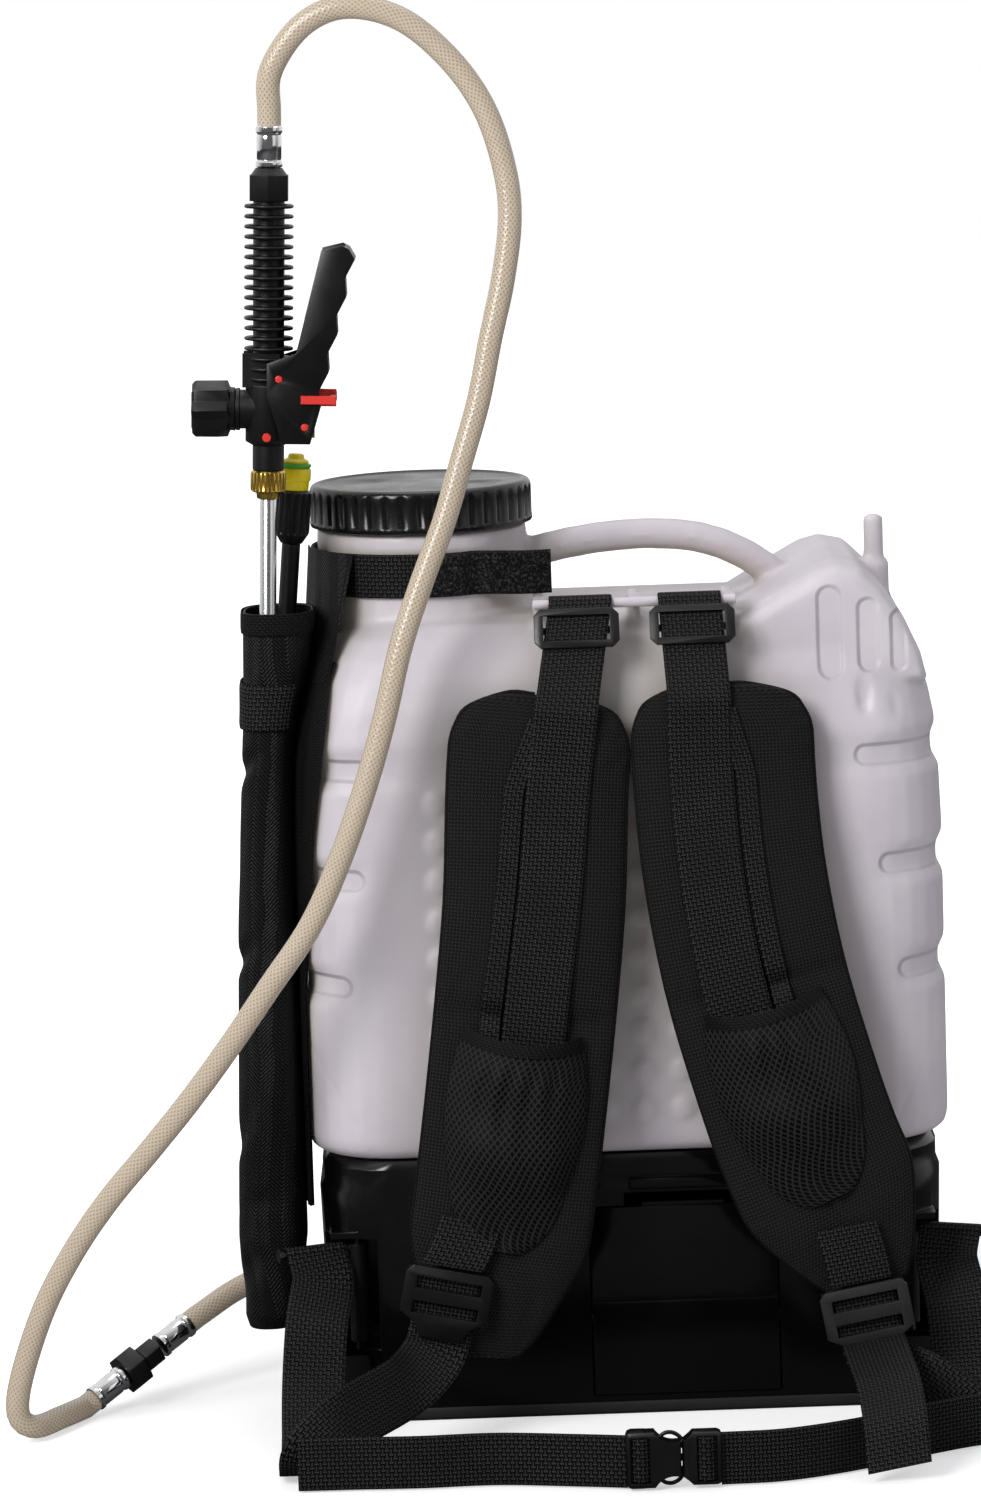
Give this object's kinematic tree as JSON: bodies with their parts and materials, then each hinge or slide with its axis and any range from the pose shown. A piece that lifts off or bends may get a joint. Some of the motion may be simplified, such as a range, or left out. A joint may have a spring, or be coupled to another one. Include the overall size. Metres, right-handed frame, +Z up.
{
  "type": "backpack sprayer",
  "caption": "Battery backpack sprayer: translucent tank on a black base, padded shoulder harness, waist belt, wand holster, trigger gun with lance and braided hose.",
  "frame": {"origin": "middle of the base's underside, on the ground", "axes": "+Z up; +X to the right as the wearer's side is seen; -Y towards the wearer's back"},
  "size_m": [0.59, 0.3641, 0.8473],
  "materials": {
    "tank_plastic": "milky translucent, blow-moulded",
    "base_plastic": "black gloss, injection-moulded",
    "black_plastic": "black, moulded",
    "webbing": "black woven nylon webbing",
    "pad_cloth": "black padded nylon cloth",
    "bag_cloth": "black coarse woven nylon",
    "mesh": "black open knitted mesh",
    "black_rubber": "black rubber",
    "red_plastic": "red, moulded",
    "yellow_plastic": "yellow, moulded",
    "brass": "turned brass",
    "steel": "polished stainless tube",
    "chrome": "bright plated sleeve",
    "hose_pvc": "cream translucent braided hose"
  },
  "bodies": {
    "sprayer": {"tank": "tank_plastic", "tank_outlet": "black_plastic", "base_shell": "base_plastic", "base_plate": "black_plastic", "battery_pack": "black_plastic", "pump_head": "black_plastic", "pump_motor": "steel", "suction_hose": "black_rubber", "delivery_hose": "black_rubber", "outlet_elbow": "black_plastic", "gun_body": "black_plastic", "hose_nut": "black_plastic", "gun_ferrule": "chrome", "valve_spring": "steel", "trigger_pivot_pin": "red_plastic", "lance_tube": "steel", "lance_nut": "brass", "wand_bag": "bag_cloth", "bag_neck_strap": "webbing", "bag_wrap_strap": "webbing", "left_shoulder_pad": "pad_cloth", "right_shoulder_pad": "pad_cloth", "left_mesh_pocket": "mesh", "right_mesh_pocket": "mesh", "left_upper_webbing": "webbing", "right_upper_webbing": "webbing", "left_tri_glide": "black_plastic", "right_tri_glide": "black_plastic", "left_strap_hook": "black_plastic", "right_strap_hook": "black_plastic", "left_ladder_lock": "black_plastic", "right_ladder_lock": "black_plastic", "left_lower_webbing": "webbing", "right_lower_webbing": "webbing", "right_webbing_tail": "webbing", "left_belt": "webbing", "buckle_socket": "black_plastic", "spray_hose": "hose_pvc", "hose_tail": "hose_pvc", "lower_ferrule": "chrome", "upper_ferrule": "chrome", "hose_coupling": "black_plastic"},
    "strainer": {"filler_strainer": "black_plastic"},
    "gasket": {"cap_gasket": "black_rubber"},
    "cap": {"filler_cap": "base_plastic", "cap_vent_valve": "black_rubber"},
    "trigger": {"trigger_lever": "black_plastic", "stem_link_pin": "red_plastic"},
    "lock": {"trigger_lock": "red_plastic"},
    "stem": {"valve_stem": "brass"},
    "valve_end_cap": {"valve_cap": "black_plastic"},
    "lance_tip": {"lance_nozzle": "brass"},
    "spare_lance": {"spare_lance_tube": "black_plastic", "spare_collar": "black_plastic"},
    "spare_tip": {"spare_nozzle": "yellow_plastic"},
    "switch": {"power_switch": "red_plastic"},
    "socket_cap": {"charge_cap": "black_rubber"},
    "cover": {"battery_cover": "base_plastic"},
    "belt_half": {"buckle_tongue": "black_plastic", "right_belt": "webbing"}
  },
  "joints": [
    {"name": "strainer_lift", "type": "slide", "parent": "sprayer", "child": "strainer", "axis": [0, 0, 1], "range_m": [0, 0.078]},
    {"name": "cap_lift", "type": "slide", "parent": "strainer", "child": "gasket", "axis": [0, 0, 1], "range_m": [0, 0.03]},
    {"name": "cap_turn", "type": "hinge", "parent": "gasket", "child": "cap", "pos_m": [-0.112, 0, 0.545], "axis": [0, 0, 1], "range_deg": [0, 540]},
    {"name": "trigger_squeeze", "type": "hinge", "parent": "sprayer", "child": "trigger", "pos_m": [-0.19097, -0.076, 0.62817], "axis": [0, -1, 0], "range_deg": [0, 12.4]},
    {"name": "lock_slide", "type": "slide", "parent": "trigger", "child": "lock", "axis": [-0.999, 0, 0.0436], "range_m": [0, 0.006]},
    {"name": "valve_stem_slide", "type": "slide", "parent": "sprayer", "child": "stem", "axis": [0.999, 0, -0.0436], "range_m": [0, 0.0055], "stiffness_N_per_m": 400, "deforming": ["valve_spring"]},
    {"name": "valve_end_cap_turn", "type": "hinge", "parent": "sprayer", "child": "valve_end_cap", "pos_m": [-0.22826, -0.076, 0.61078], "axis": [-0.999, 0, 0.0436], "range_deg": [0, 720]},
    {"name": "lance_tip_turn", "type": "hinge", "parent": "sprayer", "child": "lance_tip", "pos_m": [-0.22198, -0.076, 0.06699], "axis": [0.0436, 0, 0.999], "range_deg": [0, 360]},
    {"name": "spare_lance_draw", "type": "slide", "parent": "sprayer", "child": "spare_lance", "axis": [0.0976, 0, 0.9952], "range_m": [0, 0.4]},
    {"name": "spare_tip_turn", "type": "hinge", "parent": "spare_lance", "child": "spare_tip", "pos_m": [-0.184, -0.048, 0.58], "axis": [0.0976, 0, 0.9952], "range_deg": [0, 360]},
    {"name": "switch_rock", "type": "hinge", "parent": "sprayer", "child": "switch", "pos_m": [0.105, 0.0985, 0.09], "axis": [1, 0, 0], "range_deg": [-6, 6]},
    {"name": "socket_cap_pull", "type": "slide", "parent": "sprayer", "child": "socket_cap", "axis": [0, 1, 0], "range_m": [0, 0.012]},
    {"name": "cover_drop", "type": "hinge", "parent": "sprayer", "child": "cover", "pos_m": [0.03, -0.1002, 0.014], "axis": [1, 0, 0], "range_deg": [0, 18]},
    {"name": "buckle_release", "type": "slide", "parent": "sprayer", "child": "belt_half", "axis": [1, 0, 0], "range_m": [0, 0.024]}
  ],
  "couplings": [
    {"joint": "trigger_squeeze", "follows": "valve_stem_slide", "rad_per_m": 38}
  ]
}
